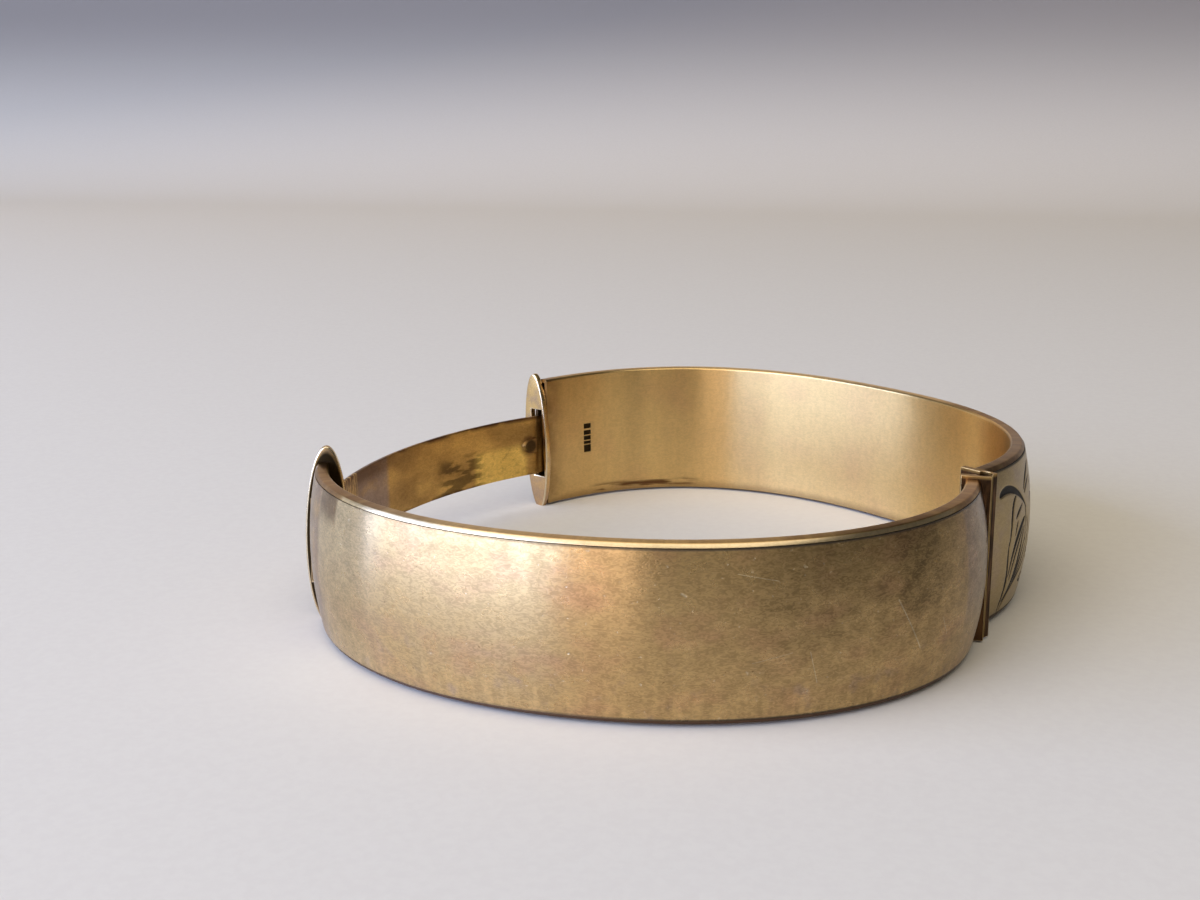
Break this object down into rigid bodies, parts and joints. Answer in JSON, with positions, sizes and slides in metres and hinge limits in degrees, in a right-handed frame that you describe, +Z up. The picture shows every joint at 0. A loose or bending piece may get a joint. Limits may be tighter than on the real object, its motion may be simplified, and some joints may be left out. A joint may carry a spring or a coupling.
{
  "type": "hinged expanding bangle",
  "caption": "Oval hinged bangle lying open on its side: a plain and an engraved hollow half band, an upright slotted oval plate on each, and a flat spring tongue between them.",
  "frame": {"origin": "on the surface that the bangle lies on, under the middle of its footprint", "axes": "+Z up, along the hinge pin; +X towards the hinge; the engraved half is at +Y and the plain half at -Y"},
  "size_m": [0.0684, 0.0758, 0.0177],
  "materials": {
    "plain_gold": "satin",
    "engraved_gold": "satin",
    "spring_brass": "tarnished",
    "pin_brass": "dull"
  },
  "bodies": {
    "plain_body": {"plain_half": "plain_gold", "hinge_pin": "pin_brass"},
    "engraved_body": {"engraved_half": "engraved_gold", "tongue": "spring_brass"}
  },
  "joints": [
    {"name": "hinge_close", "type": "hinge", "parent": "plain_body", "child": "engraved_body", "pos_m": [0.0293, -0.01025, 0.0084], "axis": [0, 0, 1], "range_deg": [0, 39.5], "deforming": ["tongue"]}
  ]
}
